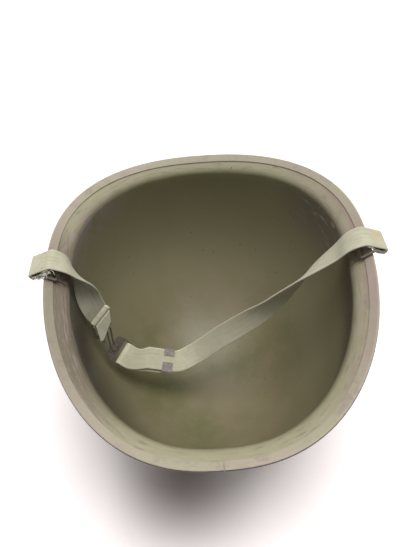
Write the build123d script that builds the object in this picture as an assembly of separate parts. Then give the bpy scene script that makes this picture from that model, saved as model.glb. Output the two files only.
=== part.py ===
from build123d import *
import math
import os

# A steel pot helmet standing on its crown, opening up, with its two-part webbing chin strap.
# Lengths are in millimetres. The front is towards -Y, the wearer's left towards -X, and +Z is up.
# The origin is the point of the crown that the helmet rests on.

# Shell: a deep dome with a flared brim, pressed from one sheet
half_width = 120.0
half_length = 140.0
depth = 178.0
wall = 1.0
widest_back = 22.0
front_dip = 33.0
rear_dip = 11.0
dip_start = 24.0
flare_side = 13.0
flare_front = 19.0
flare_rear = 10.0
drop_side = 16.0
drop_front = 18.0
drop_rear = 13.0

# The shell's curves: powers of its superellipses, and where its sections lie
front_squareness = 2.4
rear_squareness = 2.3
dome_squareness = 2.3
front_dip_power = 1.8
rear_dip_power = 1.45
flare_curl = 1.6
dome_level_shares = (0.045, 0.16, 0.3, 0.44, 0.58, 0.72, 0.86, 1.0)
flare_level_shares = (1.0, 1.12, 1.3, 1.5, 1.7, 1.85, 2.0)
around_count = 48
probe_share = 0.001

# Rim band: a thin strip folded over the edge, its ends butted at the front
band_thickness = 0.6
band_leg = 6.0
band_clearance = 0.2
band_joint_gap = 0.4

# Chin strap bails, bent over the rim, and the plates that they swing in
bail_y = 4.0
bail_wire = 2.2
bail_width = 24.2
bail_rise = 11.0
bail_tilt = 38.0
bail_reach = 8.5
bail_droop = 22.0
bail_corner = 1.4
bail_clearance = 0.1
plate_thickness = 0.9
plate_width = 18.0
plate_clearance = 0.3
barrel_set_in = 0.2
barrel_length = 15.0
barrel_level_share = 1.66
plate_foot_level_share = 1.15

# Webbing, and the eye that it is sewn into round each bail
web_width = 19.0
web_thickness = 1.6
web_clearance = 0.25
eye_length = 14.0
eye_sewn = 4.0
web_steps = 3

# Where the straps lie: shares of the half width, half length and depth, then the twist in degrees
short_strap_shares = (
    (-0.902, 0.029, 1.026, 4),
    (-0.862, 0.029, 0.996, 14),
    (-0.835, 0.027, 0.950, 30),
    (-0.800, 0.021, 0.892, 54),
    (-0.798, 0.004, 0.826, 92),
    (-0.783, -0.018, 0.762, 116),
)
long_strap_shares = (
    (0.902, 0.029, 1.034, 2),
    (0.848, 0.029, 1.006, 7),
    (0.792, 0.029, 0.950, 14),
    (0.688, 0.021, 0.880, 28),
    (0.612, 0.014, 0.822, 44),
    (0.522, 0.007, 0.734, 68),
    (0.395, -0.004, 0.630, 94),
    (0.247, -0.014, 0.545, 122),
    (0.058, -0.029, 0.447, 138),
    (-0.144, -0.050, 0.335, 143),
)

# Anchor ring, caught in the rolled end of the short strap at a set distance inside the widest line
roll_inset = 30.2
roll_place_shares = (-0.036, 0.706)
roll_along = (0.667, 0.567, 0.483)
ring_hang = (0.51, 0.12, -0.85)
ring_wire = 2.0
ring_height = 13.5
ring_top_width = 21.0
ring_foot_width = 17.0
ring_foot_shift = 11.0
ring_corner = 1.6

# Tapered end of the webbing, folded down over the ring askew
flap_length = 15.6
flap_tip_cut = 1.6
flap_tip_shift = 16.6
flap_knee = 10.0
flap_knee_shift = 1.0
flap_straight = 2.6
flap_lean = 10.5

# Release tab that hangs on the ring, and the two-pronged hook beside it
tab_width = 2.4
tab_length = 12.0
tab_thickness = 0.8
tab_shift = 15.3
tab_skew = 4.6
tab_lean = 24.0
hook_shift = 7.4
hook_wire = 1.4
hook_spacing = 4.2
hook_return = 2.5
hook_reach = 19.5
hook_hang = (0.078, -0.254, -0.964)
swing_clearance = 0.25

# Buckle plate, its rivets, and the bar that the long strap is doubled round
buckle_along = (0.526, 0.813, 0.247)
buckle_hang = (0.483, -0.056, -0.874)
buckle_width = 22.5
buckle_head_width = 18.0
buckle_shoulder = 7.0
buckle_length = 18.0
buckle_thickness = 1.0
buckle_corner = 1.5
bar_width = 2.6
slot_height = 6.2
slot_side = 1.2
dimple_radius = 0.9
rivet_radius = 0.7
rivet_head = 1.15
rivet_head_height = 0.6
rivet_inset = 3.0
rivet_shift = 0.4
rivet_clearance = 0.05
seat_gap = 0.02
hook_base_thickness = 0.8
hook_base_width = 7.4
hook_base_length = 5.4
hook_bend = 1.5

# Doubled part of the long strap, and the clip that holds its cut end
doubled_run = (0.866, 0.069, -0.495)
doubled_length = 47.0
fold_straight = 4.0
ply_gap = 0.1
settle_length = 15.0
clip_length = 10.0
clip_thickness = 0.5
clip_from_end = 6.0
clip_long_tab = 8.0
clip_short_tab = 5.5
clip_clearance = 0.15


def outline(angle, width, front, rear):
    """Plan outline: two superellipse halves that meet on the widest line."""
    c, s = math.cos(angle), math.sin(angle)
    power = 2 / (rear_squareness if s > 0 else front_squareness)
    reach = rear - widest_back if s > 0 else front + widest_back
    x = width * math.copysign(abs(c) ** power, c)
    y = widest_back + reach * math.copysign(abs(s) ** power, s)
    return x, y


def angle_at(y):
    """Angle of the outline's point on the right that lies at y, in front of the widest line."""
    share = (widest_back - y) / (half_length + widest_back)
    return -math.asin(share ** (front_squareness / 2))


def rim_height(y):
    """Height of the rim, which dips to the front and, less, to the back."""
    if y < dip_start:
        return depth - front_dip * ((dip_start - y) / (half_length + dip_start)) ** front_dip_power
    return depth - rear_dip * ((y - dip_start) / (half_length - dip_start)) ** rear_dip_power


def skin(level, angle):
    """Point on the shell's outside: level is 0 at the crown, 1 at the flare's root, 2 at the rim."""
    rim_x, rim_y = outline(angle, half_width, half_length, half_length)
    root_x, root_y = outline(
        angle, half_width - flare_side, half_length - flare_front, half_length - flare_rear
    )
    to_end = math.sin(angle) ** 2
    drop_end = drop_rear if math.sin(angle) > 0 else drop_front
    drop = drop_side + (drop_end - drop_side) * to_end
    root_z = rim_height(rim_y) - drop
    if level > 1:
        out = (level - 1) ** flare_curl
        x = root_x + (rim_x - root_x) * out
        y = root_y + (rim_y - root_y) * out
        return Vector(x, y, root_z + drop * (level - 1))
    spread = math.sin(level * math.pi / 2) ** (2 / dome_squareness)
    sink = math.cos(level * math.pi / 2) ** (2 / dome_squareness)
    sink_at_crown = math.cos(dome_level_shares[0] * math.pi / 2) ** (2 / dome_squareness)
    return Vector(root_x * spread, root_y * spread, root_z * (1 - sink / sink_at_crown))


def off_skin(level, angle, out):
    """Point that stands out from the skin along its normal; inside the helmet, out is negative."""
    around = skin(level, angle + probe_share) - skin(level, angle - probe_share)
    along = skin(level + probe_share, angle) - skin(level - probe_share, angle)
    point = skin(level, angle) + around.cross(along).normalized() * out
    if level == dome_level_shares[0]:
        return Vector(point.X, point.Y, -out)
    return point


def ring_at(level, out):
    """Closed curve round the shell at one level."""
    angles = [2 * math.pi * i / around_count for i in range(around_count)]
    return Wire([Spline(*[off_skin(level, a, out) for a in angles], periodic=True)])


def make_shell():
    """The pressed sheet: an outer and an inner skin, closed at the crown and along the rim."""
    faces = []
    for out in (0, -wall):
        for shares in (dome_level_shares, flare_level_shares):
            faces += Shell.make_loft([ring_at(level, out) for level in shares]).faces()
        faces.append(Face(ring_at(dome_level_shares[0], out)))
    rim = [ring_at(flare_level_shares[-1], out) for out in (0, -wall)]
    faces += Shell.make_loft(rim, ruled=True).faces()
    return Solid(Shell(faces))


def band_ring(past_rim, out):
    """Closed curve along the band, a length past the shell's rim; below the rim it is negative."""
    points = []
    for i in range(around_count):
        angle = 2 * math.pi * i / around_count
        rate = (skin(2, angle) - skin(2 - probe_share, angle)).length / probe_share
        points.append(off_skin(2 + past_rim / rate, angle, out))
    return Wire([Spline(*points, periodic=True)])


def make_rim_band():
    """U-shaped strip over the shell's edge, its two legs joined by a rounded crest."""
    near, far = band_clearance, band_clearance + band_thickness
    faces = []
    for out in (far, near, -wall - near, -wall - far):
        leg = [band_ring(past, out) for past in (-band_leg, -band_leg / 2, near)]
        faces += Shell.make_loft(leg).faces()
    crest = [band_ring(near, far), band_ring(far, -wall / 2), band_ring(near, -wall - far)]
    faces += Shell.make_loft(crest).faces()
    roof = [band_ring(near, near), band_ring(near, -wall - near)]
    faces += Shell.make_loft(roof, ruled=True).faces()
    for side in ((far, near), (-wall - near, -wall - far)):
        faces += Shell.make_loft([band_ring(-band_leg, out) for out in side], ruled=True).faces()
    joint = Pos(0, -half_length, depth - front_dip) * Box(band_joint_gap, 4 * band_leg, 4 * band_leg)
    return Solid(Shell(faces)) - joint


# The right bail hangs in a barrel inside the flare; the left one is its mirror image
plate_angle = angle_at(bail_y + plate_width / 2)
barrel_bore = bail_wire / 2 + bail_clearance
barrel_radius = barrel_bore + plate_thickness
barrel_out = -wall - plate_clearance - barrel_set_in - barrel_radius
barrel = off_skin(barrel_level_share, plate_angle, barrel_out)
barrel = Vector(barrel.X, bail_y, barrel.Z)
bail_crest = barrel + Vector(math.cos(math.radians(bail_tilt)), 0, math.sin(math.radians(bail_tilt))) * bail_rise
eye_inward = Vector(-math.cos(math.radians(bail_droop)), 0, math.sin(math.radians(bail_droop)))
eye_up = Vector(0, 1, 0).cross(eye_inward)
bail_bar = bail_crest - eye_inward * bail_reach


def make_hinge_plate():
    """Plate that follows the flare and is rolled into a barrel at its upper edge."""
    count = 4
    step = (barrel_level_share - plate_foot_level_share) / (count - 1)
    levels = [plate_foot_level_share + step * i for i in range(count)]
    sides = []
    for out in (wall + plate_clearance, wall + plate_clearance + plate_thickness):
        spots = [off_skin(level, plate_angle, -out) for level in levels]
        sides.append([Vector(p.X, bail_y, p.Z) for p in spots])
    back, front = sides
    edges = [Spline(*back), Line(back[-1], front[-1]), Spline(*reversed(front)), Line(front[0], back[0])]
    leaf = extrude(Face(Wire(edges)), plate_width / 2, dir=(0, 1, 0), both=True)
    roll_plane = Plane(barrel, x_dir=(1, 0, 0), z_dir=(0, 1, 0))
    roll = extrude(roll_plane * Circle(barrel_radius), barrel_length / 2, both=True)
    bore = extrude(roll_plane * Circle(barrel_bore), plate_width, both=True)
    return leaf + roll - bore


def wire_loop(path, radius):
    """Round wire bent along a closed path."""
    start = Plane(path @ 0, z_dir=path % 0)
    return sweep(start * Circle(radius), path=path)


def make_bail():
    """Wire loop bent over the rim, one side in the barrel and one side in the strap's eye."""
    aside = Vector(0, (bail_width - bail_wire) / 2, 0)
    corners = [place + aside for place in (barrel, bail_crest, bail_bar)]
    corners += [place - aside for place in (bail_bar, bail_crest, barrel)]
    return wire_loop(FilletPolyline(*corners, radius=bail_corner, close=True), bail_wire / 2)


eye_bore = bail_wire / 2 + web_clearance
eye_radius = eye_bore + web_thickness


def eye_point(side, inward, height):
    """Point of an eye, inward from the bail's bar and above it; side is 1 at the right, -1 at the left."""
    place = bail_bar + eye_inward * inward + eye_up * height
    return Vector(side * place.X, bail_y, place.Z)


def make_eye(side):
    """Webbing taken round a bail's outer side and sewn to itself."""
    closed = eye_length - eye_sewn
    low = eye_bore - web_thickness

    def at(inward, height):
        return eye_point(side, inward, height)

    outer = Wire([
        Line(at(0, eye_radius), at(eye_length, eye_radius)),
        Line(at(eye_length, eye_radius), at(eye_length, low)),
        Line(at(eye_length, low), at(closed, low)),
        Line(at(closed, low), at(0, -eye_radius)),
        ThreePointArc(at(0, -eye_radius), at(-eye_radius, 0), at(0, eye_radius)),
    ])
    inner = Wire([
        Line(at(0, eye_bore), at(closed, eye_bore)),
        Line(at(closed, eye_bore), at(0, -eye_bore)),
        ThreePointArc(at(0, -eye_bore), at(-eye_bore, 0), at(0, eye_bore)),
    ])
    sheet = extrude(Face(outer), web_width / 2, dir=(0, 1, 0), both=True)
    hole = extrude(Face(inner), web_width, dir=(0, 1, 0), both=True)
    return sheet - hole


def web_section(centre, across, along):
    """Rectangular section of the webbing, square to its run."""
    up = across.cross(along).normalized() * (web_thickness / 2)
    side = across * (web_width / 2)
    return Wire.make_polygon([centre + side + up, centre - side + up, centre - side - up, centre + side - up])


def hang_frame(along, side):
    """Two directions square to a strap's run: towards the front, and towards its upper face."""
    near = Vector(0, -1, 0)
    near = (near - along * near.dot(along)).normalized()
    return near, near.cross(along) * side


def ribbon(strap_side, shares, last):
    """Webbing lofted from a bail's eye to another known section through twisted stations."""
    first = (
        eye_point(strap_side, eye_length, eye_radius - web_thickness / 2),
        Vector(0, -1, 0),
        Vector(strap_side * eye_inward.X, 0, eye_inward.Z),
    )
    side = -strap_side
    near, up = hang_frame(last[2], side)
    last_twist = math.degrees(math.atan2(last[1].dot(up), last[1].dot(near)))
    places = [first[0]]
    places += [Vector(x * half_width, y * half_length, z * depth) for x, y, z, _ in shares]
    places.append(last[0])
    twists = [0, *[twist for *_, twist in shares], last_twist]
    rates = [(b - a) / 2 for a, b in zip(places, places[2:])]
    rates.insert(0, first[2] * (places[1] - places[0]).length)
    rates.append(last[2] * (places[-1] - places[-2]).length)
    sections = [web_section(*first)]
    for i in range((len(places) - 1) * web_steps - 1):
        station, step = divmod(i + 1, web_steps)
        u = step / web_steps
        a, b = places[station], places[min(station + 1, len(places) - 1)]
        p, q = rates[station], rates[min(station + 1, len(places) - 1)]
        centre = a * (1 - 3 * u**2 + 2 * u**3) + b * (3 * u**2 - 2 * u**3)
        centre += p * (u - 2 * u**2 + u**3) + q * (u**3 - u**2)
        along = (b - a) * (6 * u - 6 * u**2) + p * (1 - 4 * u + 3 * u**2) + q * (3 * u**2 - 2 * u)
        along = along.normalized()
        near, up = hang_frame(along, side)
        turn = math.radians(twists[station] + (twists[station + 1] - twists[station]) * u)
        sections.append(web_section(centre, near * math.cos(turn) + up * math.sin(turn), along))
    sections.append(web_section(*last))
    return Solid.make_loft(sections)


# Frame of the rolled end: X along the roll, Y up the hanging ring, Z out of the ring's flat
roll_x = Vector(*roll_along).normalized()
ring_down = Vector(*ring_hang)
ring_down = (ring_down - roll_x * ring_down.dot(roll_x)).normalized()
roll_centre = Vector(
    roll_inset - half_width,
    roll_place_shares[0] * half_length,
    roll_place_shares[1] * depth,
)
roll_plane = Plane(roll_centre, x_dir=roll_x, z_dir=roll_x.cross(-ring_down))
roll_bore = ring_wire / 2 + web_clearance
roll_radius = roll_bore + web_thickness
ring_foot = roll_centre + ring_down * ring_height


def leaned_out(lean):
    """Direction out of the ring's flat, turned up as a piece that hangs there leans outwards."""
    turn = math.radians(lean)
    return roll_plane.z_dir * math.cos(turn) - ring_down * math.sin(turn)


def ring_path():
    """Four-sided path of the ring: its top lies in the roll, its narrower foot takes hook and tab."""
    top, foot = ring_top_width / 2, ring_foot_width / 2
    corners = [
        (-top, 0), (top, 0), (foot - ring_foot_shift, -ring_height), (-foot - ring_foot_shift, -ring_height),
    ]
    flat = fillet(Polygon(*corners, align=None).vertices(), ring_corner)
    return (roll_plane * flat).wire()


def make_short_strap():
    """Eye on the left bail, half-twisted web, rolled end round the ring and tapered flap."""
    behind = roll_centre - roll_plane.z_dir * (roll_radius - web_thickness / 2)
    web = ribbon(-1, short_strap_shares, (behind, roll_x, ring_down))
    across = Plane(roll_centre, x_dir=roll_plane.z_dir, z_dir=roll_x)
    roll = extrude(across * Circle(roll_radius), web_width / 2, both=True)
    half = web_width / 2
    flap_plane = Plane(roll_centre, x_dir=roll_x, z_dir=leaned_out(flap_lean))
    face = flap_plane * Pos(0, 0, roll_bore) * Polygon(
        (-half, 0), (half, 0), (half - web_thickness, -flap_straight), (flap_knee_shift, -flap_knee),
        (-flap_tip_shift, -flap_length), (-flap_tip_shift - flap_tip_cut, flap_tip_cut - flap_length),
        (-half, -flap_straight), align=None,
    )
    flap = extrude(face, web_thickness, dir=flap_plane.z_dir)
    return make_eye(-1) + web + roll + flap - wire_loop(ring_path(), roll_bore)


def make_anchor_ring():
    """Wire ring that joins the strap's end to the buckle's hook."""
    return wire_loop(ring_path(), ring_wire / 2)


knuckle_bore = ring_wire / 2 + swing_clearance


def make_release_tab():
    """Sheet-steel tab rolled round the ring's foot, its strip hanging from it askew."""
    out = leaned_out(tab_lean)
    pivot = ring_foot - roll_x * tab_shift
    across = Plane(pivot, x_dir=out, z_dir=roll_x)
    profile = Circle(knuckle_bore + tab_thickness) - Circle(knuckle_bore)
    knuckle = extrude(across * profile, tab_width / 2, both=True)
    half = tab_width / 2
    face = Plane(pivot, x_dir=roll_x, z_dir=out) * Pos(0, 0, knuckle_bore) * Polygon(
        (-half, 0), (half, 0), (half - tab_skew, -tab_length), (-half - tab_skew, -tab_length), align=None
    )
    return knuckle + extrude(face, tab_thickness, dir=out)


# Frame of the buckle plate: X along the bar, Y up the plate, Z out of its face
buckle_x = Vector(*buckle_along).normalized()
buckle_down = Vector(*buckle_hang)
buckle_down = (buckle_down - buckle_x * buckle_down.dot(buckle_x)).normalized()
hook_centre = ring_foot - roll_x * hook_shift
buckle_edge = hook_centre + Vector(*hook_hang).normalized() * hook_reach
buckle_plane = Plane(buckle_edge, x_dir=buckle_x, z_dir=buckle_x.cross(-buckle_down))
rivet_places = [(rivet_shift - hook_spacing / 2, -rivet_inset), (rivet_shift + hook_spacing / 2, -rivet_inset)]
bar_centre = buckle_edge + buckle_down * (buckle_length - bar_width / 2)


def make_buckle_plate():
    """Stamped slider with a narrower head: a slot leaves the bar, and two holes take the rivets."""
    head, side = buckle_head_width / 2, buckle_width / 2
    corners = [
        (-head, 0), (head, 0), (side, -buckle_shoulder), (side, -buckle_length),
        (-side, -buckle_length), (-side, -buckle_shoulder),
    ]
    sheet = fillet(Polygon(*corners, align=None).vertices(), buckle_corner)
    slot_y = -buckle_length + bar_width + slot_height / 2
    slot = Pos(0, slot_y) * RectangleRounded(
        buckle_width - 2 * slot_side, slot_height, buckle_corner / 2
    )
    holes = Locations(*rivet_places).locations
    sheet = sheet - slot - [place * Circle(rivet_radius + rivet_clearance) for place in holes]
    dimple = Pos(rivet_shift - hook_spacing, -rivet_inset) * Circle(dimple_radius)
    return extrude(buckle_plane * (sheet - dimple), buckle_thickness / 2, both=True)


# Frame of the long strap's doubled part: X across the webbing, Z along it from the buckle's bar
run_down = Vector(*doubled_run).normalized()
run_across = (buckle_x - run_down * buckle_x.dot(run_down)).normalized()
run_plane = Plane(bar_centre, x_dir=run_across, z_dir=run_down)
run_up = run_plane.y_dir
fold_down = (run_down - buckle_x * run_down.dot(buckle_x)).normalized()
hook_lift = buckle_thickness / 2 + seat_gap + hook_wire / 2
base_bottom = buckle_thickness / 2 + seat_gap


def make_release_hook():
    """Small base plate with two wire prongs that rise and bend over the ring's foot."""
    out, up = roll_plane.z_dir, -ring_down
    reach = ring_wire / 2 + swing_clearance + hook_wire / 2
    base = Pos(rivet_shift, -rivet_inset, base_bottom + hook_base_thickness / 2)
    base = base * Box(hook_base_width, hook_base_length, hook_base_thickness)
    for x, y in rivet_places:
        base -= Pos(x, y, base_bottom) * Cylinder(rivet_radius + rivet_clearance, 4 * hook_base_thickness)
    hook = buckle_plane * base
    for x, y in rivet_places:
        side = math.copysign(hook_spacing / 2, x - rivet_shift)
        bar = hook_centre + roll_x * side
        points = [
            buckle_plane.from_local_coords(Vector(x, y + rivet_head + rivet_radius, hook_lift)),
            buckle_plane.from_local_coords(Vector(x, hook_wire, hook_lift)),
            bar + (out - up) * reach,
            bar + (out + up) * reach,
            bar + (up - out) * reach,
            bar - out * reach - up * hook_return,
        ]
        path = FilletPolyline(*points, radius=hook_bend)
        start = Plane(path @ 0, z_dir=path % 0)
        hook += sweep(start * Circle(hook_wire / 2), path=path)
    return hook


def make_hook_rivets():
    """Two rivets that clamp the hook's base to the plate, formed over on both faces."""
    top = base_bottom + hook_base_thickness + seat_gap
    bottom = -buckle_thickness / 2 - seat_gap
    rivets = []
    for x, y in rivet_places:
        rivet = Pos(x, y, (top + bottom) / 2) * Cylinder(rivet_radius, top - bottom)
        for height in (top + rivet_head_height / 2, bottom - rivet_head_height / 2):
            rivet += Pos(x, y, height) * Cylinder(rivet_head, rivet_head_height)
        rivets.append(buckle_plane * rivet)
    return Compound(rivets)


def make_long_strap():
    """Eye on the right bail, half-twisted web, and the end doubled back round the buckle's bar."""
    bore = math.hypot(bar_width, buckle_thickness) / 2 + web_clearance
    spread = bore + web_thickness / 2
    ply = (web_thickness + ply_gap) / 2

    def at(along, height):
        return bar_centre + run_down * along + run_up * height

    joined = (at(doubled_length, ply), run_across, -run_down)
    strap = make_eye(1) + ribbon(1, long_strap_shares, joined)
    for face in (1, -1):
        straight = [web_section(at(z, ply * face), run_across, run_down) for z in (doubled_length, settle_length)]
        strap += Solid.make_loft(straight, ruled=True)
        rise = []
        for i in range(web_steps + 1):
            u = i / web_steps
            share = 3 * u**2 - 2 * u**3
            across = (run_across * (1 - share) + buckle_x * share).normalized()
            along = (run_down * (1 - share) + fold_down * share).normalized()
            place = bar_centre + along * (settle_length + (fold_straight - settle_length) * u)
            rise.append(web_section(place + run_up * (ply + (spread - ply) * share) * face, across, along))
        strap += Solid.make_loft(rise)
    outer = bore + web_thickness

    def by_bar(along, height):
        return bar_centre + fold_down * along + run_up * height

    fold = Wire([
        Line(by_bar(fold_straight, outer), by_bar(0, outer)),
        ThreePointArc(by_bar(0, outer), by_bar(-outer, 0), by_bar(0, -outer)),
        Line(by_bar(0, -outer), by_bar(fold_straight, -outer)),
        Line(by_bar(fold_straight, -outer), by_bar(fold_straight, -bore)),
        Line(by_bar(fold_straight, -bore), by_bar(0, -bore)),
        ThreePointArc(by_bar(0, -bore), by_bar(-bore, 0), by_bar(0, bore)),
        Line(by_bar(0, bore), by_bar(fold_straight, bore)),
        Line(by_bar(fold_straight, bore), by_bar(fold_straight, outer)),
    ])
    return strap + extrude(Face(fold), web_width / 2, dir=buckle_x, both=True)


def make_end_clip():
    """Sheet-metal clip folded round both plies, its two tabs apart on the upper face."""
    width = web_width + 2 * clip_clearance
    height = 2 * web_thickness + ply_gap + 2 * clip_clearance
    ring = Rectangle(width + 2 * clip_thickness, height + 2 * clip_thickness) - Rectangle(width, height)
    opening = width - clip_long_tab - clip_short_tab
    gap_x = (clip_long_tab - clip_short_tab) / 2
    ring -= Pos(gap_x, height / 2 + clip_thickness / 2) * Rectangle(opening, 2 * clip_thickness)
    place = doubled_length - clip_from_end
    return extrude(run_plane * Pos(0, 0, place) * ring, clip_length / 2, both=True)


nodes = {
    "shell": make_shell(),
    "rim_band": make_rim_band(),
    "right_hinge_plate": make_hinge_plate(),
    "left_hinge_plate": mirror(make_hinge_plate(), about=Plane.YZ),
    "right_bail": make_bail(),
    "left_bail": mirror(make_bail(), about=Plane.YZ),
    "short_strap": make_short_strap(),
    "long_strap": make_long_strap(),
    "anchor_ring": make_anchor_ring(),
    "release_tab": make_release_tab(),
    "release_hook": make_release_hook(),
    "buckle_plate": make_buckle_plate(),
    "hook_rivets": make_hook_rivets(),
    "end_clip": make_end_clip(),
}

os.makedirs("parts", exist_ok=True)
for name, shape in nodes.items():
    export_step(shape, f"parts/{name}.step")
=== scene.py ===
"""Looks of the steel pot helmet: shell paint, webbing chin strap, hardware and a plain studio.

Every length in the settings is in millimetres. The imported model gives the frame, with the front
towards -Y, the wearer's left towards -X and the helmet standing on its crown at the origin.
"""

import math
import random

import bmesh
import bpy
from mathutils import Matrix, Vector


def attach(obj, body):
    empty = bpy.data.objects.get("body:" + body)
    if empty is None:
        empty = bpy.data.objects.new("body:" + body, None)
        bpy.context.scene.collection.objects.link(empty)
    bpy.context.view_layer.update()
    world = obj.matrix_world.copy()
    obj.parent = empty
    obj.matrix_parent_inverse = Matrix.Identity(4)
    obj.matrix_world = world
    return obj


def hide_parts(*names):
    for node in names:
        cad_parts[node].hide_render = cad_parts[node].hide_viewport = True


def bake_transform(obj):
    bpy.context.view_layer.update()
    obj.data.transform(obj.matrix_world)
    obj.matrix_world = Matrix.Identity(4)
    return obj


bl_info = {
    "name": "Steel Pot Helmet",
    "version": (1, 0, 0),
    "blender": (4, 5, 0),
    "location": "View3D > Sidebar > Helmet",
    "description": "Dresses the packed helmet with paint, webbing, hardware and a studio",
    "category": "Object",
}

MM = 0.001
RANDOM_SEED = 7
FRONT = Vector((0.0, -1.0, 0.0))
WHITE = (1.0, 1.0, 1.0, 1.0)

# Where the long strap is cut in two.
STRAP_CUT_X = 10.0
# A distance past the doubled end, in mm; the long strap's operator works out a point there and does not use
# it.
BUCKLE_BLEND = 10.0

# Steps round the small curves of the webbing.
EYE_TURNS = 14
ROLL_TURNS = 18
FOLD_TURNS = 14
FLAP_ROWS = 48

# One stitch as shares of its pitch and heights over the webbing, in millimetres.
STITCH_SHAPE = ((0.1, -0.15), (0.25, 0.12), (0.5, 0.2), (0.75, 0.12), (0.9, -0.15))
STITCH_PITCH = 2.4
STITCH_INSET = 2.2
THREAD_RADIUS = 0.28
THREAD_TIP = 0.35
THREAD_SIDE_HINT = Vector((0.31, 0.52, 0.79))
# Places of seams in millimetres: a sewn patch's margin and start, and the seam below the roll.
SEAM_MARGIN = 0.5
SEAM_START = 0.7
FLAP_SEAM = 3.4
# Loose threads: how many, the longest one's length and their radius in millimetres, and their bends.
EYE_FRAYS = (46, 6.5, 0.22)
ROLL_FRAYS = (14, 3.5, 0.18)
FRAY_JOINTS = 5

# The webbing's weave in millimetres, the shape of its selvages, and its yellow stain in metres.
RIB_PITCH = 0.95
PICK_PITCH = 0.7
SELVAGE_POWER = 2.5
SELVAGE_LIFT = 0.02
STAIN_PLACE = Vector((0.1255, 0.008, 0.1855))

# Edges that turn more than this stay sharp in the shading.
SHELL_CREASE = math.radians(50)
WEBBING_CREASE = math.radians(60)

# Floor: its colour to the pieces, to the camera, and as a painted shadow below the shell's front, and half
# its width in mm.
FLOOR_BOUNCE = (0.8, 0.79, 0.79)
FLOOR_SEEN = (1.16, 1.09, 1.1)
FLOOR_PAINTED_SHADOW = (0.3, 0.24, 0.25)
FLOOR_REACH = 6000

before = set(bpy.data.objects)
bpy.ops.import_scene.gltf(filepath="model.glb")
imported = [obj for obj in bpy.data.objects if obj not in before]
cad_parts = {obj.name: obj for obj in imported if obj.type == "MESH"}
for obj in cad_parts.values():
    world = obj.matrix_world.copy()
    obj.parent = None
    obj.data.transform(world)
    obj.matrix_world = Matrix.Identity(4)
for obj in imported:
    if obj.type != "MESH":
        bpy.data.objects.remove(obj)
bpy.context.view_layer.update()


def mm_prop(name, default, description):
    """Property that holds a length in millimetres."""
    return bpy.props.FloatProperty(name=name, description=description + ", in mm", default=default)


def number_prop(name, default, description):
    """Property that holds a plain number."""
    return bpy.props.FloatProperty(name=name, description=description, default=default)


def count_prop(name, default, description):
    """Property that holds a number of steps."""
    return bpy.props.IntProperty(name=name, description=description, default=default, min=1)


def vector_prop(name, default, description, subtype="XYZ"):
    """Property that holds a place in millimetres, a direction or a colour."""
    return bpy.props.FloatVectorProperty(
        name=name, description=description, default=default, subtype=subtype
    )


class HelmetSettings(bpy.types.PropertyGroup):
    """Sizes shared with the part's source, and the fineness of the meshes."""

    half_width: mm_prop("Half width", 120.0, "Middle plane to the rim's side")
    half_length: mm_prop("Half length", 140.0, "Middle to the rim's front or rear")
    depth: mm_prop("Depth", 178.0, "Crown to the rim's sides")
    wall: mm_prop("Wall", 1.0, "Thickness of the steel")
    widest_back: mm_prop("Widest line", 22.0, "How far behind the middle the plan is widest")
    front_dip: mm_prop("Front dip", 33.0, "Fall of the rim to the front")
    rear_dip: mm_prop("Rear dip", 11.0, "Fall of the rim to the rear")
    dip_start: mm_prop("Dip start", 24.0, "How far behind the middle the rim is highest")
    flare_side: mm_prop("Side flare", 13.0, "Reach of the flare at the sides")
    flare_front: mm_prop("Front flare", 19.0, "Reach of the flare at the front")
    flare_rear: mm_prop("Rear flare", 10.0, "Reach of the flare at the rear")
    drop_side: mm_prop("Side drop", 16.0, "Height of the flare at the sides")
    drop_front: mm_prop("Front drop", 18.0, "Height of the flare at the front")
    drop_rear: mm_prop("Rear drop", 13.0, "Height of the flare at the rear")
    front_squareness: number_prop("Front squareness", 2.4, "Power of the plan's front curve")
    rear_squareness: number_prop("Rear squareness", 2.3, "Power of the plan's rear curve")
    dome_squareness: number_prop("Dome squareness", 2.3, "Power of the dome's side curve")
    front_dip_power: number_prop("Front dip power", 1.8, "How late the rim falls to the front")
    rear_dip_power: number_prop("Rear dip power", 1.45, "How late the rim falls to the rear")
    flare_curl: number_prop("Flare curl", 1.6, "How late the flare turns outwards")
    crown_level: number_prop("Crown level", 0.045, "Share of the dome that is the small flat")
    around_count: count_prop("Steps around", 240, "Steps round the shell")
    dome_count: count_prop("Dome steps", 56, "Steps from the crown to the flare")
    flare_count: count_prop("Flare steps", 22, "Steps across the flare")


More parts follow.
